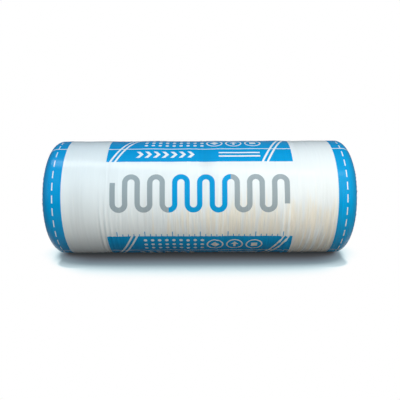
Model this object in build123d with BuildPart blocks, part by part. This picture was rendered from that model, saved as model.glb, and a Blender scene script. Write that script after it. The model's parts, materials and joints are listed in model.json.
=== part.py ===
"""Insulation roll lying on its side: a mineral-wool blanket wound up tight and wrapped in printed film.

Millimetres, +Z up. The roll's axis runs along X, and the origin is on the floor, under the middle of the roll.
"""

import math
import os

from build123d import *

# Overall size
roll_length = 1140.0  # the width that the blanket is made in
roll_diameter = 440.0  # over the film

# The wound blanket
eye_diameter = 50.0  # hole that the coreless winding leaves along its axis
turn_pitch = 25.1  # thickness of the blanket as it is squeezed in the roll
seam_width = 3.0  # furrow that shows between two turns on an end
seam_depth = 6.0
shoulder_bend = 28.0  # radius of the bend where the roll's side turns over towards an end
bend_arc = 45.0  # degrees that this bend turns
upper_run = 16.0  # straight run of the shoulder that follows the bend
lower_run = 37.0  # steeper straight run, down to the flat of the end
lower_run_steepness = 68.0  # degrees from the roll's axis

# The film
film_thickness = 0.5
film_gap = 0.2  # clearance between the film and the wool
hem_setback = 6.0  # from the flat of the end out to the film's hem
film_lap = 80.0  # width of the strip where the film's last edge lies over its first turn
lap_tilt = 35.0  # degrees from the top of the roll, towards the back, to the lap's free edge

cut_overrun = 20.0

# Sizes that follow
roll_radius = roll_diameter / 2
wool_radius = roll_radius - film_thickness - film_gap
eye_radius = eye_diameter / 2
half_length = roll_length / 2
bend_sine = math.sin(math.radians(bend_arc))
bend_cosine = math.cos(math.radians(bend_arc))
lower_sine = math.sin(math.radians(lower_run_steepness))
lower_cosine = math.cos(math.radians(lower_run_steepness))
shoulder_along = shoulder_bend * bend_sine + upper_run * bend_cosine + lower_run * lower_cosine
shoulder_across = shoulder_bend * (1 - bend_cosine) + upper_run * bend_sine + lower_run * lower_sine
flat_radius = wool_radius - shoulder_across
turn_count = math.floor((flat_radius - seam_width / 2 - eye_radius) / turn_pitch)
hem_radius = flat_radius + hem_setback
lap_arc = math.degrees(film_lap / roll_radius)

roll_centre = (0, 0, roll_radius)
roll_axis = Axis(roll_centre, (1, 0, 0))
section_plane = Plane(roll_centre, x_dir=(1, 0, 0), z_dir=(0, -1, 0))
lap_plane = section_plane.rotated((-lap_tilt, 0, 0))
single_plane = section_plane.rotated((lap_arc - lap_tilt, 0, 0))


def half_section(growth):
    """Outline of the roll from its eye outwards, with the wool's surface moved out by growth."""
    outer = wool_radius + growth
    end_x = half_length + growth
    upper_corner = growth * math.tan(math.radians(lower_run_steepness - bend_arc) / 2)
    lower_corner = growth * math.tan(math.radians(90 - lower_run_steepness) / 2)
    side = Line((0, outer), (half_length - shoulder_along, outer))
    bend = JernArc(side @ 1, side % 1, shoulder_bend + growth, -bend_arc)
    upper = PolarLine(bend @ 1, upper_run + upper_corner, -bend_arc)
    lower = PolarLine(upper @ 1, upper_corner + lower_run + lower_corner, -lower_run_steepness)
    Polyline(lower @ 1, (end_x, eye_radius), (0, eye_radius))
    mirror(about=Plane.YZ)


def turn_seam():
    """Outline of the spiral furrow between the turns, made of half circles about two centres in turn.

    It starts across the eye's wall, and each half circle is half a pitch larger than the one before, so
    the furrow's turns stay one pitch apart all the way round.
    """
    for wall in (-seam_width / 2, seam_width / 2):
        for turn in range(turn_count):
            inner_radius = eye_radius + turn * turn_pitch + wall
            CenterArc((turn_pitch / 2, 0), inner_radius + turn_pitch / 2, 180, 180)
            CenterArc((0, 0), inner_radius + turn_pitch, 0, 180)
    for radius in (eye_radius, eye_radius + turn_count * turn_pitch):
        Line((-radius - seam_width / 2, 0), (-radius + seam_width / 2, 0))


# Wool: one turned solid with its eye, and the spiral of its turns on both ends
with BuildPart() as wool_roll:
    with BuildSketch(section_plane):
        with BuildLine():
            half_section(0)
        make_face()
    revolve(axis=roll_axis)
    for end in (-1, 1):
        with BuildSketch(Plane((end * half_length, 0, roll_radius), x_dir=(0, 1, 0), z_dir=(1, 0, 0))):
            with BuildLine():
                turn_seam()
            make_face()
        extrude(amount=-end * seam_depth, mode=Mode.SUBTRACT)
wool_roll.part.label = "wool_roll"

# Film: drawn in over both shoulders, one ply round the roll and two where its last edge laps over
with BuildPart() as film_wrap:
    for plane, plies, arc in ((single_plane, 1, 360 - lap_arc), (lap_plane, 2, lap_arc)):
        with BuildSketch(plane):
            with BuildLine():
                half_section(film_gap + plies * film_thickness)
            make_face()
            with BuildLine():
                half_section(film_gap)
            make_face(mode=Mode.SUBTRACT)
            with Locations((0, hem_radius / 2)):
                Rectangle(roll_length + cut_overrun, hem_radius, mode=Mode.SUBTRACT)
        revolve(axis=roll_axis, revolution_arc=arc)
film_wrap.part.label = "film_wrap"

os.makedirs("parts", exist_ok=True)
for piece in (wool_roll.part, film_wrap.part):
    export_step(piece, f"parts/{piece.label}.step")
    print(piece.label, round(piece.volume), piece.bounding_box())
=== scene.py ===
"""Insulation roll: a mineral-wool blanket wound up tight, in a printed film drawn in over both ends.

Run as a script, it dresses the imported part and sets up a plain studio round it. Metres, +Z up. The roll
lies along X with the floor at zero, and angles round it run from the front, -Y, up over the top.
"""

import json
import math

import bpy
import numpy as np
from mathutils import Matrix, Vector


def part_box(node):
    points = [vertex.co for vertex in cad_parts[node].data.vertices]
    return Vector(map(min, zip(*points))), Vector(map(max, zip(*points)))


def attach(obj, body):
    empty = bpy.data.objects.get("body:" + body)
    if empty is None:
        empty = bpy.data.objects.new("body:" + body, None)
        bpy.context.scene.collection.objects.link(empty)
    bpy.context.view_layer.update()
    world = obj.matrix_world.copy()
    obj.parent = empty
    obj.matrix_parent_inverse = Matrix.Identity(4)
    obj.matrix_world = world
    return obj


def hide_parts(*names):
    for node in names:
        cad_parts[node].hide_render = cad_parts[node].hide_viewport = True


bl_info = {
    "name": "Insulation roll",
    "version": (1, 0, 0),
    "blender": (4, 5, 0),
    "location": "View3D > Sidebar > Insulation roll",
    "description": "Dresses a film-wrapped roll of mineral wool and sets up its studio",
    "category": "Object",
}

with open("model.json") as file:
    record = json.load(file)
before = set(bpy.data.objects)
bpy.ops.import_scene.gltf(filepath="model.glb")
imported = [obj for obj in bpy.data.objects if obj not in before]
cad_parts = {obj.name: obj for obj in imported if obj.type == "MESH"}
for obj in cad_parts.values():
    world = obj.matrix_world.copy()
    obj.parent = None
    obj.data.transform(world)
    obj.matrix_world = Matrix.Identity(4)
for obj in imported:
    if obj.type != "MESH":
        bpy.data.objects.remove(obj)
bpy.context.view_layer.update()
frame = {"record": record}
WOOL_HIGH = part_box("wool_roll")[1]
FILM_LOW, FILM_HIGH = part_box("film_wrap")
EYE = next(mount for mount in frame["record"]["mounts"] if mount["name"] == "eye")
FULL_TURN = 2 * math.pi
SEED = 7

# Sheet places in metres, and the creases' height, as the film's material reads them
FLAT_MAP = "film_flat"
LIFT = "lift"

# Rows of the wound wool's outline, and its columns round the axis
WOOL_FACE_ROWS = 86
WOOL_SHOULDER_ROWS = 13
WOOL_SIDE_ROWS = 5
WOOL_BORE_ROWS = 9
WOOL_COLUMNS = 384

# The points that a loose fibre bends between, in shares of its length
FIBRE_BEND = {"Start": (-0.5, 0, -0.02), "Middle": (0.1, 0.3, 0.22), "End": (0.5, 0, 0.05)}

# Camera: side of the picture, and how far it is shifted right and up, in pixels
PICTURE_SIDE = 400
PICTURE_SHIFT = (0.25, -3.3)

# Lamps aimed at the middle of the roll: name, place, width, height, watts and colour
LAMPS = (
    ("right key", (0.9, -1.75, 1.7), 1.6, 1, 26.5, (1, 1, 0.95)),
    ("left key", (-0.9, -1.75, 1.7), 1.6, 1, 19.5, (0.61, 0.88, 1)),
    ("low fill", (0.9, -2.05, 0.95), 1.6, 1, 18, (1, 0.86, 0.68)),
    ("sky", (0, -0.85, 2.3), 2.6, 0.6, 7, (0.1, 0.5, 1)),
    ("left fill", (-2.3, -0.8, 0.7), 1, 1, 5, (1, 0.85, 0.75)),
    ("back left", (-1.4, 1.85, 0.27), 1.6, 0.5, 24, (1, 1, 1)),
    ("back right", (1.4, 1.85, 0.27), 1.6, 0.5, 24, (1, 1, 1)),
)
GLEAM = ("gleam", (-0.4, -0.78, 2.18), 3.6, 0.4, 38, (1, 1, 1))

# The floor's painted shadow: its tone by how open it is to the light
FLOOR_TONES = (
    (0.0, (0.018, 0.022, 0.024)),
    (0.15, (0.068, 0.072, 0.078)),
    (0.31, (0.14, 0.17, 0.2)),
    (0.445, (0.23, 0.3, 0.34)),
    (0.505, (0.41, 0.52, 0.57)),
    (0.57, (0.6, 0.74, 0.79)),
    (0.64, (0.83, 0.94, 0.97)),
    (0.72, (1, 1, 1)),
)
FLOOR_HALF = 9  # half the floor's side
SHADE_SHIFT = 0.01  # from the middle of the roll to the middle of its shade, along X
GLOSS_DIMMING = 0.85  # how much darker the surroundings behind the roll are for the film's gloss
WORLD_LIGHT = 0.04  # how bright the backdrop is as a light, where 1 shows as white


class FilmSettings(bpy.types.PropertyGroup):
    """Sizes and finish of the film."""

    radius: bpy.props.FloatProperty(
        name="Radius", description="From the axis to the film", unit="LENGTH",
        default=(FILM_HIGH.z - FILM_LOW.z) / 2)
    half_length: bpy.props.FloatProperty(
        name="Half length", description="From the middle of the roll to the flat of an end", unit="LENGTH",
        default=WOOL_HIGH.x)
    shoulder_along: bpy.props.FloatProperty(
        name="Shoulder along", description="How far an end is rounded, along the roll", unit="LENGTH",
        default=0.045)
    shoulder_across: bpy.props.FloatProperty(
        name="Shoulder across", description="How far an end is rounded, towards the axis", unit="LENGTH",
        default=0.067)
    hem_radius: bpy.props.FloatProperty(
        name="Hem radius", description="From the axis to the film's edge on an end", unit="LENGTH",
        default=0.172)
    lap: bpy.props.FloatProperty(
        name="Lap", description="Width of the strip where the film lies double", unit="LENGTH", default=0.08)
    lap_edge: bpy.props.FloatProperty(
        name="Lap edge", description="Angle from the front, up over the top, to the film's last edge",
        subtype="ANGLE", default=math.radians(125))
    crease_count: bpy.props.IntProperty(
        name="Creases", description="Fine creases that run round the roll", default=340)
    crease_height: bpy.props.FloatProperty(
        name="Crease height", description="Height of the strongest of the fine creases", unit="LENGTH",
        default=0.0013)
    pleat_count: bpy.props.IntProperty(
        name="Pleats", description="Pleats gathered over each shoulder", default=58)
    pleat_height: bpy.props.FloatProperty(
        name="Pleat height", description="Height of the pleats at the hem", unit="LENGTH", default=0.004)
    white: bpy.props.FloatVectorProperty(
        name="White", description="The bare film", subtype="COLOR", default=(0.83, 0.86, 0.88))
    show_through: bpy.props.FloatVectorProperty(
        name="Show through", description="The film where the wool shows through it", subtype="COLOR",
        default=(0.84, 0.785, 0.69))
    roughness: bpy.props.FloatProperty(
        name="Roughness", description="How dull the film is", subtype="FACTOR", default=0.18)


class PrintSettings(bpy.types.PropertyGroup):
    """Sizes and colours of the plain print on the film."""

    repeats: bpy.props.IntProperty(
        name="Repeats", description="Times the print repeats round the roll", default=3)
    line_angle: bpy.props.FloatProperty(
        name="Line angle", description="Where one print ends and the next starts, from the front",
        subtype="ANGLE", default=math.radians(-57))
    line_width: bpy.props.FloatProperty(
        name="Line width", description="White line between two prints", unit="LENGTH", default=0.004)
    band_inner: bpy.props.FloatProperty(
        name="Band inner edge", description="From the middle of the roll to the end bands", unit="LENGTH",
        default=0.489)
    belt_half: bpy.props.FloatProperty(
        name="Belt half length", description="Half the length of the blue belts", unit="LENGTH",
        default=0.336)
    lower_belt: bpy.props.FloatProperty(
        name="Lower belt", description="Height of the belt above the line", unit="LENGTH", default=0.098)
    upper_belt: bpy.props.FloatProperty(
        name="Upper belt", description="Height of the belt below the next line", unit="LENGTH", default=0.073)
    stripe_lean: bpy.props.FloatProperty(
        name="Stripe lean", default=0.45,
        description="How far the stripes near a belt's end lean, as a share of their height")
    coil_middle: bpy.props.FloatProperty(
        name="Coil middle", description="From the line up to the middle of the coil", unit="LENGTH",
        default=0.266)
    coil_height: bpy.props.FloatProperty(
        name="Coil height", description="Height of the coil over its strokes", unit="LENGTH", default=0.138)
    coil_spacing: bpy.props.FloatProperty(
        name="Coil spacing", description="From one run of the coil to the next", unit="LENGTH", default=0.044)
    coil_stroke: bpy.props.FloatProperty(
        name="Coil stroke", description="Width of the coil's line", unit="LENGTH", default=0.019)
    coil_runs: bpy.props.IntProperty(
        name="Coil runs", description="Runs on each side of the coil's middle one", default=7)
    blue_runs: bpy.props.FloatProperty(
        name="Blue runs", description="Where the coil turns from blue to grey, in runs from its middle",
        default=2.5)
    blue: bpy.props.FloatVectorProperty(
        name="Blue", description="Main ink", subtype="COLOR", default=(0.0, 0.32, 0.68))
    grey: bpy.props.FloatVectorProperty(
        name="Grey", description="Second ink", subtype="COLOR", default=(0.335, 0.39, 0.425))


class WoolSettings(bpy.types.PropertyGroup):
    """Sizes and finish of the wound wool."""

    eye_radius: bpy.props.FloatProperty(
        name="Eye radius", description="Hole that the winding leaves", unit="LENGTH",
        default=EYE["dims"]["r_mm"] / 1000)
    turn_pitch: bpy.props.FloatProperty(
        name="Turn pitch", description="Thickness of the squeezed blanket", unit="LENGTH", default=0.0251)
    furrow_depth: bpy.props.FloatProperty(
        name="Furrow depth", description="Depth of the gap between two turns", unit="LENGTH", default=0.008)
    furrow_half: bpy.props.FloatProperty(
        name="Furrow half width", description="Half the width of the gap between two turns", unit="LENGTH",
        default=0.0028)
    unevenness: bpy.props.FloatProperty(
        name="Unevenness", description="How unevenly the turns end", unit="LENGTH", default=0.003)
    colour: bpy.props.FloatVectorProperty(
        name="Colour", description="The wool", subtype="COLOR", default=(0.66, 0.5, 0.29))
    fibre_count: bpy.props.IntProperty(name="Fibres", description="Loose fibres on the ends", default=5200)
    fibre_length: bpy.props.FloatProperty(
        name="Fibre length", description="Length of a loose fibre", unit="LENGTH", default=0.022)
    fibre_radius: bpy.props.FloatProperty(
        name="Fibre radius", description="Half the thickness of a loose fibre", unit="LENGTH",
        default=0.00035)


class StageSettings(bpy.types.PropertyGroup):
    """Camera and floor."""

    distance: bpy.props.FloatProperty(
        name="Distance", description="From the camera to the roll's axis", unit="LENGTH", default=1.868)
    elevation: bpy.props.FloatProperty(
        name="Elevation", description="How far the camera looks down", subtype="ANGLE",
        default=math.radians(9))
    roll: bpy.props.FloatProperty(
        name="Roll", description="How far the camera leans to a side", subtype="ANGLE",
        default=math.radians(-0.22))
    view_angle: bpy.props.FloatProperty(
        name="View angle", description="Angle that the picture takes in", subtype="ANGLE",
        default=math.radians(46.16))
    floor_colour: bpy.props.FloatVectorProperty(
        name="Floor", description="Colour of the floor", subtype="COLOR", default=(0.25, 0.25, 0.25))


class Quantity:
    """A number in a node tree. Working with it adds the nodes that do the sum."""

    def __init__(self, tree, socket):
        self.tree = tree
        self.socket = socket

    def math(self, operation, *others):
        node = self.tree.nodes.new("ShaderNodeMath")
        node.operation = operation
        for slot, value in zip(node.inputs, (self, *others)):
            feed(self.tree, slot, value)
        return Quantity(self.tree, node.outputs[0])

    def __add__(self, other):
        return self.math("ADD", other)

    def __sub__(self, other):
        return self.math("SUBTRACT", other)

    def __rsub__(self, other):
        return self.math("MULTIPLY_ADD", -1, other)

    def __mul__(self, other):
        return self.math("MULTIPLY", other)

    def __truediv__(self, other):
        return self.math("DIVIDE", other)

    def size(self):
        return self.math("ABSOLUTE")

    def sign(self):
        return self.math("SIGN")

    def below(self, limit):
        return self.math("LESS_THAN", limit)

    def above(self, limit):
        return self.math("GREATER_THAN", limit)

    def between(self, low, high):
        return self.above(low) * self.below(high)

    def either(self, other):
        return self.math("MAXIMUM", other)

    def without(self, other):
        return self * (1 - other)

    def wrapped(self, period):
        return self.math("FLOORED_MODULO", period)

    def hypot(self, other):
        """How far a flat place with these two coordinates is from zero."""
        return (self * self + other * other).math("SQRT")

    def ramp(self, low, high):
        """Runs smoothly from 0 at low to 1 at high."""
        node = self.tree.nodes.new("ShaderNodeMapRange")
        node.interpolation_type = "SMOOTHSTEP"
        feed(self.tree, node.inputs["Value"], self)
        node.inputs["From Min"].default_value = low
        node.inputs["From Max"].default_value = high
        return Quantity(self.tree, node.outputs["Result"])


def feed(tree, slot, value):
    """Sets a socket to a number or colour, or links a quantity or another socket to it."""
    if isinstance(value, Quantity):
        tree.links.new(value.socket, slot)
    elif isinstance(value, bpy.types.NodeSocket):
        tree.links.new(value, slot)
    else:
        slot.default_value = value


def node_in(tree, kind, **inputs):
    """Adds a node and feeds its named inputs."""
    node = tree.nodes.new(kind)
    for name, value in inputs.items():
        feed(tree, node.inputs[name], value)
    return node


def parts_of(tree, vector):
    """The three quantities of a vector socket."""
    split = node_in(tree, "ShaderNodeSeparateXYZ", Vector=vector)
    return [Quantity(tree, split.outputs[name]) for name in "XYZ"]


def vector_of(tree, x, y, z):
    return node_in(tree, "ShaderNodeCombineXYZ", X=x, Y=y, Z=z).outputs[0]


def noise(tree, place, detail, scale=1):
    """Soft noise from 0 to 1 at a place."""
    roughness = 0.55
    node = node_in(tree, "ShaderNodeTexNoise", Vector=place, Scale=scale, Detail=detail, Roughness=roughness)
    return Quantity(tree, node.outputs[0])


def mixed(tree, share, first, second):
    """First colour to second colour by a share from 0 to 1."""
    node = tree.nodes.new("ShaderNodeMix")
    node.data_type = "RGBA"
    feed(tree, node.inputs["Factor"], share)
    for name, colour in (("A", first), ("B", second)):
        slot = next(s for s in node.inputs if s.name == name and s.type == "RGBA")
        feed(tree, slot, colour if isinstance(colour, bpy.types.NodeSocket) else (*colour, 1))
    return next(s for s in node.outputs if s.type == "RGBA")


def new_material(name):
    """An empty node material with its shader."""
    material = bpy.data.materials.new(name)
    material.use_nodes = True
    tree = material.node_tree
    return material, tree, tree.nodes["Principled BSDF"]


def add_bump(tree, shader, height, distance, strength):
    bump = node_in(tree, "ShaderNodeBump", Height=height, Distance=distance, Strength=strength)
    tree.links.new(bump.outputs["Normal"], shader.inputs["Normal"])


def new_object(name, data):
    """A new object in the scene."""
    holder = bpy.data.objects.new(name, data)
    bpy.context.scene.collection.objects.link(holder)
    return holder


def new_piece(name, mesh):
    """A finished piece at the origin, riding on the one body."""
    piece = new_object(name, mesh)
    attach(piece, "root")
    return piece


def grid_faces(first, rows, columns, closed=False):
    """Quads of a grid whose vertices are numbered row by row from first. A closed one joins up both ways."""
    row = np.arange(rows if closed else rows - 1)
    column = np.arange(columns if closed else columns - 1)
    row, column = (a.ravel() for a in np.meshgrid(row, column, indexing="ij"))
    next_row = (row + 1) % rows
    next_column = (column + 1) % columns
    corners = [(row, column), (next_row, column), (next_row, next_column), (row, next_column)]
    return np.stack([first + r * columns + c for r, c in corners], axis=1)


def mesh_from(name, points, quads, triangles=()):
    """A smooth mesh."""
    mesh = bpy.data.meshes.new(name)
    faces = [list(map(int, f)) for f in quads] + [list(map(int, f)) for f in triangles]
    mesh.from_pydata(points.tolist(), [], faces)
    mesh.validate()
    mesh.shade_smooth()
    return mesh


def smooth(low, high, value):
    """Runs smoothly from 0 at low to 1 at high, for arrays."""
    share = np.clip((value - low) / (high - low), 0, 1)
    return share * share * (3 - 2 * share)


def wave(phase):
    """Runs from 1 down to 0 and back as the phase goes once round, for arrays."""
    return 0.5 + 0.5 * np.cos(phase)


def ripple(random, angle, size, waves, most):
    """A wavy line round the roll that closes on itself: random waves, each with up to most crests."""
    total = np.zeros_like(angle)
    for _ in range(waves):
        total += np.cos(random.integers(1, most + 1) * angle + random.uniform(0, FULL_TURN))
    return size * total / math.sqrt(waves)


def hem_turn(film):
    """Angle that the shoulder has turned through where the film ends."""
    return math.acos(1 - (film.radius - film.hem_radius) / film.shoulder_across)


class FilmSheet:
    """The film as a sheet: a place on it is a distance along the roll and an angle round it."""

    ROWS = 380  # along the side
    COLUMNS = 162  # round the side
    SHOULDER_ROWS = 28
    SHOULDER_SPLIT = 3  # columns on a shoulder for each one on the side
    RUN_STEPS = 200  # for the length of the run over a shoulder
    PLY = 0.0005  # step at the lap, as thick as the solid's film
    FLOOR_GAP = 0.0004  # from the floor to the film's lowest place
    MAP_MARGIN = 0.005  # bare edge of the map for baking

    # Fine creases: ranges of their spans in radians, widths and shares of the full height
    SPANS = (0.3, 1.4)
    WIDTHS = (0.0016, 0.0045)
    HEIGHT_SHARES = (0.15, 1)
    DENT_SHARE = 0.6  # depth of a dent for a ridge's height of 1
    MIDDLE_ANGLE = math.radians(-40)
    ANGLE_SPREAD = math.radians(70)
    SLANT_SPREAD = 0.006
    CALM_SHARE = 0.3  # how high the creases near the left end are
    CALM_TO_FULL = (-0.42, -0.28)  # along the roll, where they grow to their full height

    # Creases that stand out: place along, degrees round, span, width, height and slant
    STRONG_CREASES = (
        (-0.360, -34, 0.9, 0.0030, -0.0018, 0.0),
        (-0.352, -34, 0.9, 0.0028, 0.0024, 0.0),
        (-0.343, -32, 0.9, 0.0028, -0.0018, 0.002),
        (-0.335, -30, 0.8, 0.0030, 0.0026, 0.002),
        (-0.326, -30, 0.8, 0.0028, -0.0016, 0.002),
        (-0.317, -28, 0.7, 0.0028, 0.0018, 0.003),
        (-0.298, -26, 0.7, 0.0030, 0.0016, 0.003),
        (0.296, -22, 0.9, 0.0030, 0.0042, 0.002),
        (0.316, -28, 0.9, 0.0034, 0.0040, 0.005),
        (0.372, -40, 0.5, 0.0030, 0.0026, 0.012),
        (0.392, -46, 0.6, 0.0032, 0.0034, 0.018),
        (0.418, -44, 0.6, 0.0036, 0.0038, 0.022),
        (0.446, -42, 0.7, 0.0032, 0.0034, 0.020),
        (0.474, -28, 0.9, 0.0036, 0.0028, 0.004),
        (0.503, -8, 0.7, 0.0030, 0.0020, 0.0),
        (0.517, -6, 0.7, 0.0030, 0.0020, 0.0),
    )

    # Long swells of the film between the creases
    SWELL_SEED = SEED + 1
    SWELLS = 9
    SWELL_HEIGHT = 0.00022
    SWELL_WAVES = (10, 60)  # radians for each metre along
    SWELL_TURNS = 3  # most waves round the roll, either way

    # Gathering over a shoulder
    GATHER_START = 0.035  # from the end of the side back to where the creases start to fade
    CREASE_LOSS = 0.7  # how much of the creases has faded at the hem
    PLEAT_ONSET = 9  # power of the run over the shoulder that the pleats grow by
    PLEAT_SHARPNESS = 1.4
    PLEAT_MIDDLE = 0.5  # where the smooth shape lies between a pleat's foot and its top
    PLEAT_STRENGTH = 0.62
    STRENGTH_LIMITS = (0.15, 1.2)
    FINER_SHARE = 0.22  # height of the finer pleats between the others

    # Ripples round the roll: size, waves and most crests
    PLEAT_SHIFT = (1.1, 5, 9)
    PLEAT_SKEW = (1.6, 4, 7)
    FINER_SHIFT = (2, 4, 11)
    STRENGTH_CHANGE = (0.28, 5, 13)
    HEM_WANDER = (0.05, 6, 12)  # in runs over the shoulder
    HEM_SEED = SEED + 40

    # The lap: arcs where the film sinks to the wool and climbs on its first turn, in laps, and its last edge
    SINKING = 0.8
    CLIMBING = 0.5
    EDGE_LIFT = 0.0009
    EDGE_ARC = 0.03  # radians over which it lifts
    EDGE_WAVES = (31, 12.7)  # radians for each metre along

    def __init__(self, film):
        self.film = film
        self.side_half = film.half_length - film.shoulder_along
        self.hem_turn = hem_turn(film)
        turn = np.linspace(0, self.hem_turn, self.RUN_STEPS)
        steps = np.hypot(film.shoulder_along * np.cos(turn), film.shoulder_across * np.sin(turn))
        self.shoulder_run = float(np.trapz(steps, turn))
        self.lap_turn = film.lap / film.radius
        self.last_angle = film.lap_edge + FULL_TURN
        self.first_angle = film.lap_edge - self.lap_turn
        self.random = np.random.default_rng(SEED)
        self.creases = self.draw_creases()
        self.end_seeds = {-1: self.random.integers(1000), 1: self.random.integers(1000)}

    def draw_creases(self):
        """Random creases, then the strong ones: places, angles, spans, widths, heights and slants."""
        random = self.random
        count = self.film.crease_count
        side = random.choice((-self.DENT_SHARE, 1), count)
        place = random.uniform(-self.side_half, self.side_half, count)
        side = side * (self.CALM_SHARE + (1 - self.CALM_SHARE) * smooth(*self.CALM_TO_FULL, place))
        fine = np.stack([
            place,
            random.normal(self.MIDDLE_ANGLE, self.ANGLE_SPREAD, count),
            random.uniform(*self.SPANS, count),
            random.uniform(*self.WIDTHS, count),
            self.film.crease_height * random.uniform(*self.HEIGHT_SHARES, count) * side,
            random.normal(0, self.SLANT_SPREAD, count),
        ], axis=1)
        strong = np.array(self.STRONG_CREASES)
        strong[:, 1] = np.radians(strong[:, 1])
        return np.concatenate([fine, strong])

    def relief(self, along, angle):
        """How far the film stands off its smooth shape on the roll's side."""
        total = np.zeros_like(along)
        for place, middle, span, width, height, slant in self.creases:
            turn = np.mod(angle - middle + math.pi, FULL_TURN) - math.pi
            window = np.clip(1 - (turn / span) ** 2, 0, 1) ** 2
            off = (along - place - slant * turn) / width
            total += height * window * np.exp(-off * off)
        random = np.random.default_rng(self.SWELL_SEED)
        for _ in range(self.SWELLS):
            waves = random.uniform(*self.SWELL_WAVES)
            turns = random.integers(-self.SWELL_TURNS, self.SWELL_TURNS + 1)
            start = random.uniform(0, FULL_TURN)
            total += self.SWELL_HEIGHT * np.cos(waves * along + turns * angle + start)
        return total

    def pleats(self, side, share, angle):
        """How far the gathered film stands off a shoulder. share runs from 0 to 1 at the hem."""
        random = np.random.default_rng(SEED + int(self.end_seeds[side]))
        count = self.film.pleat_count
        shift = ripple(random, angle, *self.PLEAT_SHIFT)
        skew = ripple(random, angle, *self.PLEAT_SKEW)
        fold = wave(count * angle + shift + share * skew) ** self.PLEAT_SHARPNESS
        finer_count = 3 * count // 2
        finer = wave(finer_count * angle + ripple(random, angle, *self.FINER_SHIFT))
        strength = self.PLEAT_STRENGTH + ripple(random, angle, *self.STRENGTH_CHANGE)
        height = fold * np.clip(strength, *self.STRENGTH_LIMITS) + self.FINER_SHARE * finer
        return self.film.pleat_height * (height - self.PLEAT_MIDDLE) * share

    def points(self, along, angle, relief):
        """Places in space of a sheet's places, given as arrays, with their relief."""
        film = self.film
        side = np.sign(along)
        reach = np.abs(along)
        past = np.maximum(reach - self.side_half, 0) / self.shoulder_run
        turn = past * self.hem_turn
        x = np.minimum(reach, self.side_half) + film.shoulder_along * np.sin(turn)
        r = film.radius - film.shoulder_across * (1 - np.cos(turn))
        lean_x = np.sin(turn) / film.shoulder_along
        lean_r = np.cos(turn) / film.shoulder_across
        lean = np.hypot(lean_x, lean_r)
        gather = smooth(self.side_half - self.GATHER_START, self.side_half + self.shoulder_run, reach)
        off = relief * (1 - self.CREASE_LOSS * gather)
        for end in (-1, 1):
            here = side == end
            off[here] += self.pleats(end, past[here] ** self.PLEAT_ONSET, angle[here])
        off += self.lap_step(along, angle)
        x = side * (x + off * lean_x / lean)
        r = r + off * lean_r / lean
        z = np.maximum(film.radius + r * np.sin(angle), self.FLOOR_GAP)
        return np.stack([x, -r * np.cos(angle), z], axis=-1)

    def lap_step(self, along, angle):
        """The film's first edge lies under its last one, and the last edge stands up a little."""
        first_clear = self.first_angle + self.lap_turn
        last_clear = self.last_angle - self.lap_turn
        under = 1 - smooth(first_clear, first_clear + self.SINKING * self.lap_turn, angle)
        over = smooth(last_clear - self.CLIMBING * self.lap_turn, last_clear, angle)
        edge = smooth(self.last_angle - self.EDGE_ARC, self.last_angle, angle)
        first_wave, second_wave = self.EDGE_WAVES
        lift = self.EDGE_LIFT * (1 + np.cos(first_wave * along) * np.cos(second_wave * along + 1))
        return self.PLY * (over - under) + edge * lift

    def hem_wander(self, side, angle):
        """How far the hem strays from its mean line, as a share of the run over the shoulder."""
        random = np.random.default_rng(self.HEM_SEED + int(self.end_seeds[side]))
        return ripple(random, angle, *self.HEM_WANDER)

    def build(self):
        """The sheet's mesh, with the creases' height and its maps."""
        coarse = np.linspace(self.first_angle, self.last_angle, self.COLUMNS + 1)
        fine = np.linspace(self.first_angle, self.last_angle, self.COLUMNS * self.SHOULDER_SPLIT + 1)
        side_rows = np.linspace(-self.side_half, self.side_half, self.ROWS)
        shoulder_rows = np.arange(1, self.SHOULDER_ROWS + 1) / self.SHOULDER_ROWS
        along, angle = np.meshgrid(side_rows, coarse, indexing="ij")
        flat = [np.stack([along.ravel(), angle.ravel()], axis=1)]
        quads = [grid_faces(0, self.ROWS, len(coarse))]
        triangles = []
        count = along.size
        for side in (-1, 1):
            share, angle = np.meshgrid(shoulder_rows, fine, indexing="ij")
            run = self.shoulder_run * share * (1 + self.hem_wander(side, angle) * share)
            along = side * (self.side_half + run)
            flat.append(np.stack([along.ravel(), angle.ravel()], axis=1))
            shoulder = grid_faces(count, self.SHOULDER_ROWS, len(fine))
            quads.append(shoulder if side > 0 else shoulder[:, ::-1])
            edge = 0 if side < 0 else (self.ROWS - 1) * len(coarse)
            fan = self.joining_fan(edge, count)
            triangles.append(fan[:, ::-1] if side > 0 else fan)
            count += along.size
        along, angle = np.concatenate(flat).T
        relief = self.relief(along, angle)
        points = self.points(along, angle, relief)
        mesh = mesh_from("film", points, np.concatenate(quads), np.concatenate(triangles))
        lift = mesh.attributes.new(LIFT, "FLOAT", "POINT")
        lift.data.foreach_set("value", (relief / self.film.crease_height).astype(np.float32))
        self.add_maps(mesh, along, angle)
        return mesh

    def joining_fan(self, edge, first):
        """Triangles from the side's last row, numbered from edge, to a shoulder's first, finer row."""
        split = self.SHOULDER_SPLIT
        fan = []
        for column in range(self.COLUMNS):
            here, there = edge + column, edge + column + 1
            near = [first + column * split + step for step in range(split + 1)]
            fan.append((here, there, near[2]))
            fan.append((here, near[1], near[0]))
            fan.append((here, near[2], near[1]))
            fan.append((there, near[3], near[2]))
        return np.array(fan)

    def add_maps(self, mesh, along, angle):
        """Gives the mesh its flat map in metres and a map for baking."""
        metres = np.stack([along, angle * self.film.radius], axis=1)
        across_share = (along / np.abs(along).max() + 1) / 2
        round_share = (angle - self.first_angle) / (self.last_angle - self.first_angle)
        shares = np.stack([across_share, round_share], axis=1)
        baking = self.MAP_MARGIN + (1 - 2 * self.MAP_MARGIN) * shares
        corner = np.zeros(len(mesh.loops), dtype=np.int32)
        mesh.loops.foreach_get("vertex_index", corner)
        for name, places in ((FLAT_MAP, metres), ("OFBake", baking)):
            layer = mesh.uv_layers.new(name=name)
            layer.uv.foreach_set("vector", places[corner].astype(np.float32).ravel())


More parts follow.
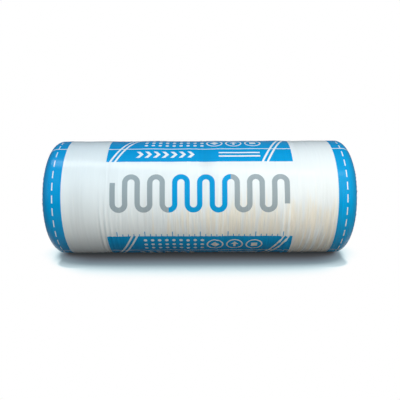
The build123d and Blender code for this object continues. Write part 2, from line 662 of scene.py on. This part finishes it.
def insulation_coil(printing, along, up):
    """A bold line in hairpin bends, as drawings mark insulation."""
    spacing = printing.coil_spacing
    bend = spacing / 2
    half_run = (printing.coil_height - printing.coil_stroke) / 2 - bend
    level = up - printing.coil_middle
    distance = ((along + bend).wrapped(spacing) - bend).size()
    for side, shift in ((1, bend), (-1, bend + spacing)):
        past = level * side - half_run
        off_middle = (along + shift).wrapped(2 * spacing) - spacing
        off_bend = (off_middle.hypot(past) - bend).size()
        beyond = past.above(0)
        distance = distance.without(beyond) + off_bend * beyond
    inside = along.size().below(printing.coil_runs * spacing + printing.coil_stroke / 2)
    last_run = along.size().above((printing.coil_runs - 0.5) * spacing)
    free_end = last_run * level.size().above(half_run) * (along * level).below(0)
    return distance.below(printing.coil_stroke / 2) * inside.without(free_end)


def any_of(marks):
    """One mask for all places that any of several masks takes in."""
    total = marks[0]
    for mark in marks[1:]:
        total = total.either(mark)
    return total


def square_sign(across, level):
    half_side = 0.36
    return across.size().either(level.size()).below(half_side)


def arrow_sign(across, level):
    half_shaft, shaft_foot, shaft_top = 0.13, -0.5, 0.1
    head_foot, head_top, head_slope = 0.05, 0.55, 1.1
    shaft = across.size().below(half_shaft) * level.between(shaft_foot, shaft_top)
    head = (across.size() * head_slope + level).below(head_top) * level.above(head_foot)
    return shaft.either(head)


def diamond_sign(across, level):
    half_width = 0.52
    return (across.size() + level.size()).below(half_width)


def ringed_signs(printing, along, up):
    """Three white rings on the lower belt with a sign in each, drawn in shares of the ring's radius."""
    radius, ring_inner = 0.031, 0.84
    place, spacing = 0.2, 0.072
    marks = []
    for number, sign in enumerate((square_sign, arrow_sign, diamond_sign)):
        across = (along - (place - spacing * number)) / radius
        level = (up - printing.lower_belt / 2) / radius
        marks += [across.hypot(level).between(ring_inner, 1), sign(across, level)]
    return any_of(marks)


def leaning_stripes(printing, along, belt_up):
    """Two white stripes that lean, near both ends of a belt."""
    place, reach = 0.262, 0.03
    spacing, width = 0.018, 0.008
    belt_height = printing.lower_belt + printing.upper_belt
    leaning = along - (belt_up - belt_height / 2) * printing.stripe_lean
    past = leaning.size() - place
    return past.between(0, reach) * past.wrapped(spacing).below(width)


def scale_ticks(printing, along, up):
    """Short and long blue ticks that stand on the lower belt."""
    width, bare_end = 0.003, 0.02
    above_belt = up - printing.lower_belt
    marks = []
    for spacing, height in ((0.02, 0.01), (0.1, 0.022)):
        marks.append(along.wrapped(spacing).below(width) * above_belt.between(0, height))
    return any_of(marks) * along.size().below(printing.belt_half - bare_end)


def band_dashes(along, around):
    """A white dashed line along each end band."""
    inner, outer = 0.5185, 0.522
    spacing, length = 0.045, 0.028
    return along.size().between(inner, outer) * around.wrapped(spacing).below(length)


def chevrons(along, off_middle):
    """A row of white chevrons on the left half of the upper belt."""
    count, spacing, stroke = 7, 0.031, 0.013
    half_height, slope = 0.017, 0.8
    tip = along + off_middle * slope
    row = tip.between(-count * spacing, 0) * off_middle.below(half_height)
    return tip.wrapped(spacing).below(stroke) * row


def long_bars(along, off_middle):
    """Two white bars on the right half of the upper belt."""
    left, right = 0.07, 0.22
    inner, outer = 0.006, 0.013
    return along.between(left, right) * off_middle.between(inner, outer)


def dot_rows(along, up):
    """Rows of white dots on the left half of the lower belt."""
    left, low, spacing, radius = -0.212, 0.011, 0.026, 0.0065
    columns, rows = 9, 3
    across = (along - left).wrapped(spacing) - spacing / 2
    level = (up - low).wrapped(spacing) - spacing / 2
    field = along.between(left, left + columns * spacing) * up.between(low, low + rows * spacing)
    return across.hypot(level).below(radius) * field


def print_masks(printing, film, along, around):
    """Shares of blue and of grey ink at a place on the sheet, given in metres."""
    repeat = FULL_TURN * film.radius / printing.repeats
    up = (around - printing.line_angle * film.radius).wrapped(repeat)
    belt_up = (up + printing.upper_belt).wrapped(repeat)
    belt = along.size().below(printing.belt_half) * belt_up.below(printing.lower_belt + printing.upper_belt)
    band = along.size().above(printing.band_inner)
    off_middle = (up - (repeat - printing.upper_belt / 2)).size()
    white = any_of([
        up.above(repeat - printing.line_width),
        band_dashes(along, around),
        leaning_stripes(printing, along, belt_up),
        chevrons(along, off_middle),
        dot_rows(along, up),
        long_bars(along, off_middle),
        ringed_signs(printing, along, up),
    ])
    coil = insulation_coil(printing, along, up)
    in_blue = along.size().below(printing.blue_runs * printing.coil_spacing)
    blue = any_of([belt.either(band).without(white), coil * in_blue, scale_ticks(printing, along, up)])
    return blue, coil.without(in_blue)


def streaked_noise(tree, along, turned, lengthwise, roundwise, detail):
    """Noise on the film that closes round the roll, with its fineness along the roll and round it."""
    ring_y = turned.math("COSINE") * roundwise
    ring_z = turned.math("SINE") * roundwise
    return noise(tree, vector_of(tree, along * lengthwise, ring_y, ring_z), detail=detail)


def slack_share(along, turned, patches):
    """Where the film lies slack and crumpled: low on the front towards the right, and in patches behind."""
    front_angle, back_angle = -0.72, 2.6
    left, right = -0.42, 0.12
    low_front = (turned - front_angle).math("COSINE").ramp(0.45, 0.95)
    behind = (turned - back_angle).math("COSINE").ramp(0.1, 0.9)
    return (low_front * along.ramp(left, right)).either(behind * patches.ramp(0.42, 0.62))


def lap_shade(film, turned):
    """Painted shade: the thin dark line at the lap's edge and the soft painted shadow beside it."""
    line_width, line_depth = 0.0016, 0.2
    shade_width, shade_depth = 0.007, 0.3
    past_edge = turned - film.lap_edge
    to_last_edge = (FULL_TURN - past_edge) * film.radius
    from_edge = past_edge * film.radius
    shade = from_edge.above(0) * (1 - from_edge.ramp(0, shade_width))
    return to_last_edge.below(line_width) * line_depth + shade * shade_depth


def film_material(film, printing):
    """Glossy white film with its print, finely creased, with the wool's colour showing through."""
    material, tree, shader = new_material("printed film")
    flat = tree.nodes.new("ShaderNodeUVMap")
    flat.uv_map = FLAT_MAP
    along, around, _ = parts_of(tree, flat.outputs["UV"])
    turned = around / film.radius
    streaks = streaked_noise(tree, along, turned, lengthwise=75, roundwise=1.3, detail=4)
    patches = streaked_noise(tree, along, turned, lengthwise=2.4, roundwise=0.9, detail=2)
    fine = streaked_noise(tree, along, turned, lengthwise=260, roundwise=3, detail=3)
    folds = streaked_noise(tree, along, turned, lengthwise=62, roundwise=1.1, detail=2)
    slack = slack_share(along, turned, patches)
    lift = tree.nodes.new("ShaderNodeAttribute")
    lift.attribute_name = LIFT
    raised = Quantity(tree, lift.outputs["Fac"])
    ridge = raised.ramp(0.3, 1.6)
    dent = (raised * -1).ramp(0.2, 1.4)

    # The wool shows through in streaks, but not on ridges, which stand off it, and the inks lie over that
    through_start, through_full, through_most, ridge_cover = 0.78, 1.08, 0.9, 0.8
    closeness = streaks * 0.95 + patches * 0.3 + slack * 0.4
    through = closeness.ramp(through_start, through_full) * through_most
    blue, grey = print_masks(printing, film, along, around)
    colour = mixed(tree, through.without(ridge * ridge_cover), film.white, film.show_through)
    colour = mixed(tree, grey, colour, printing.grey)
    colour = mixed(tree, blue, colour, printing.blue)

    # Painted shade of the crumpling, painted highlights on ridges, painted shade in dents and painted shade
    # at the lap darken or lighten film and inks alike
    taut_shade, ridge_light, dent_shade = 0.15, 0.07, 0.1
    crumple_shade = (fine * 0.3 + streaks * 0.26 - 0.28) * (slack * (1 - taut_shade) + taut_shade)
    painted_shading = crumple_shade + ridge * ridge_light - dent * dent_shade - lap_shade(film, turned) + 1
    shade = node_in(tree, "ShaderNodeHueSaturation", Color=colour, Value=painted_shading)
    feed(tree, shader.inputs["Base Color"], shade.outputs["Color"])

    # Gloss and fine crumpling
    roughness_change = 0.14
    roughness = streaks * roughness_change + (film.roughness - roughness_change / 2)
    feed(tree, shader.inputs["Roughness"], roughness)
    shader.inputs["Specular IOR Level"].default_value = 0.12
    taut_crumple, fold_sharpness, fold_height = 0.25, 4, 1.6
    fold_lines = (1 - (folds * 2 - 1).size()).math("POWER", fold_sharpness)
    crumple = (fine * 0.5 + streaks) * (slack * (1 - taut_crumple) + taut_crumple)
    add_bump(tree, shader, crumple + fold_lines * slack * fold_height, distance=0.0016, strength=0.7)
    return material


def end_noise(tree, x, y, z, shift, fineness):
    """Broad noise over the roll's ends, shifted so that the two ends differ."""
    return noise(tree, vector_of(tree, x.sign() * shift, y * fineness, z * fineness), detail=2)


def winding(tree, wool, film, x, y, z):
    """Where a place lies in the winding: its radius, its angle and how many turns lie inside it."""
    stray = 0.5  # how far the winding strays from a true spiral, in turns
    level = z - film.radius
    radius = y.hypot(level)
    angle = level.math("ARCTAN2", y)
    spiral = (radius - wool.eye_radius) / wool.turn_pitch - (angle - math.pi) / FULL_TURN
    wander = end_noise(tree, x, y, z, shift=3, fineness=13) - 0.5
    return radius, angle, spiral + wander * stray


def gap_share(tree, x, y, z):
    """How far the gap between two turns opens at a place, as a share of its full depth."""
    least = 0.2
    return end_noise(tree, x, y, z, shift=4, fineness=24).ramp(0.34, 0.62) * (1 - least) + least


def layered_noise(tree, wool, x, radius, angle, turns, fineness):
    """Noise in thin layers that follow the turns of the blanket, other ones on each turn and end."""
    lengthwise = 60
    turn_shift, end_shift = 7, 5
    through = turns * (wool.turn_pitch * fineness)
    across = angle.math("COSINE") * radius * lengthwise + turns.math("FLOOR") * turn_shift
    level = angle.math("SINE") * radius * lengthwise + x.sign() * end_shift
    return noise(tree, vector_of(tree, through, across, level), detail=4)


def toned(colour, factor, lift=0):
    """A darker or paler tone of a colour."""
    return tuple(min(1, factor * channel + lift) for channel in colour)


def wool_material(wool, film):
    """Brown mineral wool: dull, layered along its turns, flecked with pale and dark fibres, and with painted
    shade in the gaps between turns.
    """
    material, tree, shader = new_material("mineral wool")
    place = tree.nodes.new("ShaderNodeTexCoord").outputs["Object"]
    x, y, z = parts_of(tree, place)
    radius, angle, turns = winding(tree, wool, film, x, y, z)
    layers = layered_noise(tree, wool, x, radius, angle, turns, fineness=700)
    clumps = noise(tree, place, detail=4, scale=90)
    flecks = noise(tree, place, detail=2, scale=900)
    gap_start, turn_edge = 0.38, 0.5  # from the middle of a turn, in turns
    gap = (turns.wrapped(1) - 0.5).size().ramp(gap_start, turn_edge) * gap_share(tree, x, y, z)
    fibres = clumps * 0.5 + flecks * 0.6
    pale_most, gap_most = 0.6, 0.6
    dark = toned(wool.colour, 0.5)
    pale = toned(wool.colour, 1.4, lift=0.06)
    painted_gap_shade = toned(wool.colour, 0.35)
    colour = mixed(tree, layers.ramp(0.3, 0.75), dark, wool.colour)
    colour = mixed(tree, fibres.ramp(0.5, 0.75) * pale_most, colour, pale)
    # Painted shade: the gaps between turns are darkened
    colour = mixed(tree, gap * gap_most, colour, painted_gap_shade)
    feed(tree, shader.inputs["Base Color"], colour)
    shader.inputs["Roughness"].default_value = 0.95
    shader.inputs["Specular IOR Level"].default_value = 0.15
    shader.inputs["Sheen Weight"].default_value = 0.25
    shader.inputs["Sheen Roughness"].default_value = 0.6
    add_bump(tree, shader, layers + fibres, distance=0.004, strength=0.8)
    return material


def new_geometry_tree(name, sizes):
    """A Geometry Nodes tree with named sizes. Gives the tree, its mesh coming in, its sizes and its end."""
    tree = bpy.data.node_groups.new(name, "GeometryNodeTree")
    tree.interface.new_socket("Geometry", in_out="INPUT", socket_type="NodeSocketGeometry")
    tree.interface.new_socket("Geometry", in_out="OUTPUT", socket_type="NodeSocketGeometry")
    for label, value in sizes.items():
        kind = "NodeSocketInt" if isinstance(value, int) else "NodeSocketFloat"
        tree.interface.new_socket(label, in_out="INPUT", socket_type=kind)
    start = tree.nodes.new("NodeGroupInput")
    finish = tree.nodes.new("NodeGroupOutput")
    inputs = {label: Quantity(tree, start.outputs[label]) for label in sizes}
    return tree, start.outputs["Geometry"], inputs, finish.inputs["Geometry"]


def end_tree(tree, geometry, material, finish):
    """Ends a tree with plain geometry that has its material."""
    real = node_in(tree, "GeometryNodeRealizeInstances", Geometry=geometry)
    dressed = node_in(tree, "GeometryNodeSetMaterial", Geometry=real.outputs[0], Material=material)
    tree.links.new(dressed.outputs[0], finish)


def made_by(tree, base, name, sizes):
    """The plain mesh that a tree makes from a base mesh with these sizes."""
    carrier = new_object(name, base)
    modifier = carrier.modifiers.new(tree.name, "NODES")
    modifier.node_group = tree
    for item in tree.interface.items_tree:
        if item.in_out == "INPUT" and item.name in sizes:
            modifier[item.identifier] = sizes[item.name]
    graph = bpy.context.evaluated_depsgraph_get()
    mesh = bpy.data.meshes.new_from_object(carrier.evaluated_get(graph))
    carrier.modifiers.remove(modifier)
    bpy.data.objects.remove(carrier)
    mesh.name = name
    return mesh


def wound_base(wool, film):
    """The plain turned body: its bore, its two flat ends, its shoulders and its side, closed both ways."""
    film_room = 0.004  # from the film down to the wool
    hem_room = 0.006  # from the film's hem to the flat of an end
    outer = film.radius - film_room
    end = film.half_length
    side = end - film.shoulder_along
    outline = [(x, wool.eye_radius) for x in np.linspace(0, end, WOOL_BORE_ROWS, endpoint=False)]
    flat = film.hem_radius - hem_room
    outline += [(end, r) for r in np.linspace(wool.eye_radius, flat, WOOL_FACE_ROWS)]
    for turn in np.linspace(hem_turn(film), 0, WOOL_SHOULDER_ROWS):
        outline.append((side + (film.shoulder_along - film_room) * math.sin(turn),
                        outer - (film.shoulder_across - film_room) * (1 - math.cos(turn))))
    outline += [(x, outer) for x in np.linspace(side, 0, WOOL_SIDE_ROWS, endpoint=False)[1:]]
    loop = outline + [(0, outer)] + [(-x, r) for x, r in reversed(outline[1:])]
    x, r = np.array(loop).T
    angle = np.linspace(0, FULL_TURN, WOOL_COLUMNS, endpoint=False)
    x_grid, angle_grid = np.meshgrid(x, angle, indexing="ij")
    r_grid = np.repeat(r[:, None], len(angle), axis=1)
    y_grid = r_grid * np.cos(angle_grid)
    z_grid = film.radius + r_grid * np.sin(angle_grid)
    points = np.stack([x_grid, y_grid, z_grid], axis=-1)
    quads = grid_faces(0, len(x), len(angle), closed=True)
    return mesh_from("wound body", points.reshape(-1, 3), quads)


def turns_tree(wool, film, material, sizes):
    """Geometry Nodes: pushes the spiral furrow, the rounded turns and their layers into both ends."""
    tree, body, inputs, finish = new_geometry_tree("Wound turns", sizes)
    depth = inputs["Furrow depth"]
    rounding_share = 0.35  # how far a turn is rounded, for a furrow's depth of 1
    x, y, z = parts_of(tree, tree.nodes.new("GeometryNodeInputPosition").outputs[0])
    radius, angle, turns = winding(tree, wool, film, x, y, z)
    share = turns.wrapped(1)
    off = (0.5 - (share - 0.5).size()) * inputs["Turn pitch"] / inputs["Furrow half width"]
    furrow = (off * off * -1).math("EXPONENT") * depth * gap_share(tree, x, y, z)
    rounding = (share * 2 - 1).math("POWER", 2) * (depth * rounding_share)

    # The turns end unevenly: thin layers, steps along each turn and broad lumps
    steps_each_turn, end_shift = 3.7, 9
    lumps_along, lumps_across = 20, 45
    layer_share = 0.9
    layers = layered_noise(tree, wool, x, radius, angle, turns, fineness=420)
    wound_place = (turns.math("FLOOR") + angle / FULL_TURN) * steps_each_turn
    step_place = vector_of(tree, wound_place, x.sign() * end_shift, 0)
    lump_place = vector_of(tree, x * lumps_along, y * lumps_across, z * lumps_across)
    step = noise(tree, step_place, detail=1)
    lumps = noise(tree, lump_place, detail=3)
    ragged = ((0.5 - layers) * layer_share + (1 - step) + (1 - lumps)) * inputs["Unevenness"]

    # Only the flat ends move, and hardly at all under the film's hem
    edge_room, hem_start, hem_end, hem_share = 0.0005, -0.012, 0.002, 0.1
    on_end = x.size().above(film.half_length - edge_room)
    fade = radius.ramp(film.hem_radius + hem_end, film.hem_radius + hem_start)
    sink = (furrow + rounding + ragged) * on_end * (fade * (1 - hem_share) + hem_share)
    push = vector_of(tree, x.sign() * -1 * sink, 0, 0)
    moved = node_in(tree, "GeometryNodeSetPosition", Geometry=body, Offset=push)
    end_tree(tree, moved.outputs[0], material, finish)
    return tree


def fibres_tree(wool, film, material, sizes):
    """Geometry Nodes: loose bent fibres strewn over both ends."""
    tree, body, inputs, finish = new_geometry_tree("Loose fibres", sizes)
    end_depth, eye_room, hem_room = 0.02, 0.002, 0.01
    outer = film.hem_radius - hem_room
    x, y, z = parts_of(tree, tree.nodes.new("GeometryNodeInputPosition").outputs[0])
    radius, _, _ = winding(tree, wool, film, x, y, z)
    on_end = x.size().above(film.half_length - end_depth) * radius.between(wool.eye_radius + eye_room, outer)
    area = 2 * math.pi * (outer ** 2 - wool.eye_radius ** 2)
    strewn = node_in(tree, "GeometryNodeDistributePointsOnFaces", Mesh=body, Selection=on_end,
                     Density=inputs["Count"] / area, Seed=inputs["Seed"])

    # One fibre: a bent line with a three-sided section
    curve = node_in(tree, "GeometryNodeCurveQuadraticBezier", Resolution=4)
    for name, place in FIBRE_BEND.items():
        bend = vector_of(tree, *(inputs["Fibre length"] * share for share in place))
        feed(tree, curve.inputs[name], bend)
    section = node_in(tree, "GeometryNodeCurvePrimitiveCircle", Resolution=3, Radius=inputs["Fibre radius"])
    fibre = node_in(tree, "GeometryNodeCurveToMesh", Curve=curve.outputs[0])
    fibre.inputs["Fill Caps"].default_value = True
    tree.links.new(section.outputs[0], fibre.inputs["Profile Curve"])

    # Each one is turned any way round, tilted a little and scaled
    tilt, smallest, largest = 0.35, 0.45, 1.3
    spin = tree.nodes.new("FunctionNodeRandomValue")
    spin.data_type = "FLOAT_VECTOR"
    spin.inputs[0].default_value = (-tilt, -tilt, 0)
    spin.inputs[1].default_value = (tilt, tilt, FULL_TURN)
    turned = node_in(tree, "FunctionNodeRotateRotation", Rotation=strewn.outputs["Rotation"])
    turned.rotation_space = "LOCAL"
    tree.links.new(spin.outputs[0], turned.inputs["Rotate By"])
    size = tree.nodes.new("FunctionNodeRandomValue")
    size.inputs[2].default_value = smallest
    size.inputs[3].default_value = largest
    placed = node_in(tree, "GeometryNodeInstanceOnPoints", Points=strewn.outputs["Points"],
                     Instance=fibre.outputs[0], Rotation=turned.outputs[0], Scale=size.outputs[1])
    end_tree(tree, placed.outputs[0], material, finish)
    return tree


class ROLL_OT_wool(bpy.types.Operator):
    """Winds the wool, with the spiral of its turns and loose fibres on both ends"""

    bl_idname = "roll.wool"
    bl_label = "Wind the wool"

    def execute(self, context):
        film = context.scene.roll_film
        wool = context.scene.roll_wool
        material = wool_material(wool, film)
        sizes = {"Furrow depth": wool.furrow_depth, "Furrow half width": wool.furrow_half,
                 "Turn pitch": wool.turn_pitch, "Unevenness": wool.unevenness}
        mesh = made_by(turns_tree(wool, film, material, sizes), wound_base(wool, film), "wound_wool", sizes)
        body = new_piece("wound_wool", mesh)
        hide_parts("wool_roll")
        sizes = {"Count": wool.fibre_count, "Fibre length": wool.fibre_length,
                 "Fibre radius": wool.fibre_radius, "Seed": SEED}
        mesh = made_by(fibres_tree(wool, film, material, sizes), mesh.copy(), "loose_fibres", sizes)
        fibres = new_piece("loose_fibres", mesh)
        return {"FINISHED"}


class ROLL_OT_film(bpy.types.Operator):
    """Wraps the roll in its printed film, creased round the side and gathered over the shoulders"""

    bl_idname = "roll.film"
    bl_label = "Wrap the film"

    def execute(self, context):
        film = context.scene.roll_film
        sheet = FilmSheet(film)
        wrap = new_piece("printed_film", sheet.build())
        wrap.data.materials.append(film_material(film, context.scene.roll_print))
        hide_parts("film_wrap")
        return {"FINISHED"}


def area_lamp(name, place, width, height, power, colour, target):
    """A soft lamp that lights the roll without showing in the film's gloss."""
    lamp = bpy.data.lights.new(name, "AREA")
    lamp.shape = "RECTANGLE"
    lamp.size = width
    lamp.size_y = height
    lamp.energy = power
    lamp.color = colour
    holder = new_object(name, lamp)
    holder.location = place
    holder.rotation_euler = (target - Vector(place)).to_track_quat("-Z", "Y").to_euler()
    holder.visible_glossy = False
    return holder


def floor_openness(tree, x, y):
    """How open the floor is to light, evened out near the roll's ends to a patch with round corners, which
    shapes the painted shadow.
    """
    reach, samples = 2, 48
    half_length, half_width, corner = 0.53, 0.225, 0.07
    edge_inner, edge_outer = -0.004, 0.014
    end_start, end_full = 0.4, 0.54
    patch_level, patch_share, contact_level = 0.475, 0.5, 0.3
    beside_gain = 0.075
    occlusion = node_in(tree, "ShaderNodeAmbientOcclusion", Distance=reach)
    occlusion.samples = samples
    openness = Quantity(tree, occlusion.outputs["AO"])
    past_x = (x.size() - (half_length - corner)).either(0)
    past_y = (y.size() - (half_width - corner)).either(0)
    patch = 1 - (past_x.hypot(past_y) - corner).ramp(edge_inner, edge_outer)
    in_patch = (patch_level - openness) * patch * openness.ramp(0, contact_level) * patch_share
    evened = in_patch + (1 - patch) * beside_gain
    return openness + x.size().ramp(end_start, end_full) * evened


def shown_share(tree, behind):
    """1 for rays that show the surroundings, less for gloss behind the roll, and 0 for rays that light it."""
    path = tree.nodes.new("ShaderNodeLightPath")
    camera, glossy, transmission = (
        Quantity(tree, path.outputs[f"Is {kind} Ray"]) for kind in ("Camera", "Glossy", "Transmission"))
    return any_of([camera, glossy, transmission]).without(glossy * behind * GLOSS_DIMMING)


def floor_material(stage):
    """A pale floor that shows as white, with the roll's shadow painted on it."""
    end_reach, back_reach, dimming_run = 0.57, 0.23, 0.3
    material, tree, shader = new_material("pale floor")
    shader.inputs["Roughness"].default_value = 0.9
    shader.inputs["Specular IOR Level"].default_value = 0
    shader.inputs["Base Color"].default_value = (*stage.floor_colour, 1)
    x, y, _ = parts_of(tree, tree.nodes.new("ShaderNodeTexCoord").outputs["Object"])
    x = x - SHADE_SHIFT
    tone = node_in(tree, "ShaderNodeValToRGB", Fac=floor_openness(tree, x, y))
    stops = tone.color_ramp.elements
    while len(stops) < len(FLOOR_TONES):
        stops.new(0.5)
    for stop, (place, colour) in zip(stops, FLOOR_TONES):
        stop.position = place
        stop.color = (*colour, 1)
    # Painted shadow: the floor shows in the tone that its openness gives
    glow = node_in(tree, "ShaderNodeEmission", Color=tone.outputs["Color"])
    beyond = (x.size() - end_reach).either(y - back_reach)
    mix = node_in(tree, "ShaderNodeMixShader", Fac=shown_share(tree, beyond.ramp(0, dimming_run)))
    tree.links.new(shader.outputs[0], mix.inputs[1])
    tree.links.new(glow.outputs[0], mix.inputs[2])
    tree.links.new(mix.outputs[0], tree.nodes["Material Output"].inputs["Surface"])
    return material


class ROLL_OT_stage(bpy.types.Operator):
    """Sets up the floor, the backdrop, the lamps and the camera"""

    bl_idname = "roll.stage"
    bl_label = "Set the stage"

    def execute(self, context):
        scene = context.scene
        scene.view_settings.view_transform = "Standard"
        middle = Vector((0, 0, scene.roll_film.radius))
        self.camera(scene, middle)
        self.floor(scene.roll_stage)
        self.world(scene)
        for lamp in LAMPS:
            area_lamp(*lamp, middle)
        gleam = area_lamp(*GLEAM, middle)
        gleam.visible_glossy = True
        gleam.visible_diffuse = False
        return {"FINISHED"}

    def camera(self, scene, middle):
        """The camera, at the photo's angle and with its framing."""
        stage = scene.roll_stage
        camera = bpy.data.cameras.new("camera")
        camera.sensor_fit = "HORIZONTAL"
        camera.angle = stage.view_angle
        camera.clip_end = 50
        camera.shift_x, camera.shift_y = (pixels / PICTURE_SIDE for pixels in PICTURE_SHIFT)
        holder = new_object("camera", camera)
        away = Vector((0, -math.cos(stage.elevation), math.sin(stage.elevation)))
        holder.location = middle + stage.distance * away
        tilt = Matrix.Rotation(math.pi / 2 - stage.elevation, 3, "X")
        holder.rotation_euler = (tilt @ Matrix.Rotation(stage.roll, 3, "Z")).to_euler()
        scene.camera = holder

    def floor(self, stage):
        """The floor, which belongs to the stage and not to the part."""
        corners = ((-1, -1), (1, -1), (1, 1), (-1, 1))
        points = np.array([(FLOOR_HALF * x, FLOOR_HALF * y, 0) for x, y in corners], float)
        mesh = mesh_from("floor", points, [(0, 1, 2, 3)])
        mesh.materials.append(floor_material(stage))
        plane = new_object("floor", mesh)

    def world(self, scene):
        """The white backdrop, dimmed for gloss from the front of the roll to behind it."""
        front, back = -0.3, 0.5
        world = bpy.data.worlds.new("backdrop")
        scene.world = world
        world.use_nodes = True
        tree = world.node_tree
        backdrop = tree.nodes["Background"]
        backdrop.inputs["Color"].default_value = (1, 1, 1, 1)
        _, depth, _ = parts_of(tree, tree.nodes.new("ShaderNodeTexCoord").outputs["Generated"])
        strength = shown_share(tree, depth.ramp(front, back)) * (1 - WORLD_LIGHT) + WORLD_LIGHT
        feed(tree, backdrop.inputs["Strength"], strength)


class ROLL_PT_panel(bpy.types.Panel):
    """The roll's sizes and the buttons that make it"""

    bl_idname = "ROLL_PT_panel"
    bl_label = "Insulation roll"
    bl_space_type = "VIEW_3D"
    bl_region_type = "UI"
    bl_category = "Insulation roll"

    def draw(self, context):
        layout = self.layout
        for name in SETTINGS:
            group = getattr(context.scene, name)
            box = layout.box()
            for label in group.__annotations__:
                box.prop(group, label)
        for operator in (ROLL_OT_wool, ROLL_OT_film, ROLL_OT_stage):
            layout.operator(operator.bl_idname)


SETTINGS = {"roll_wool": WoolSettings, "roll_film": FilmSettings, "roll_print": PrintSettings,
            "roll_stage": StageSettings}
CLASSES = (*SETTINGS.values(), ROLL_OT_wool, ROLL_OT_film, ROLL_OT_stage, ROLL_PT_panel)


def register():
    for item in CLASSES:
        bpy.utils.register_class(item)
    for name, group in SETTINGS.items():
        setattr(bpy.types.Scene, name, bpy.props.PointerProperty(type=group))


def unregister():
    for name in SETTINGS:
        delattr(bpy.types.Scene, name)
    for item in reversed(CLASSES):
        bpy.utils.unregister_class(item)


def main():
    register()
    bpy.ops.roll.wool()
    bpy.ops.roll.film()
    bpy.ops.roll.stage()


if __name__ == "__main__":
    main()
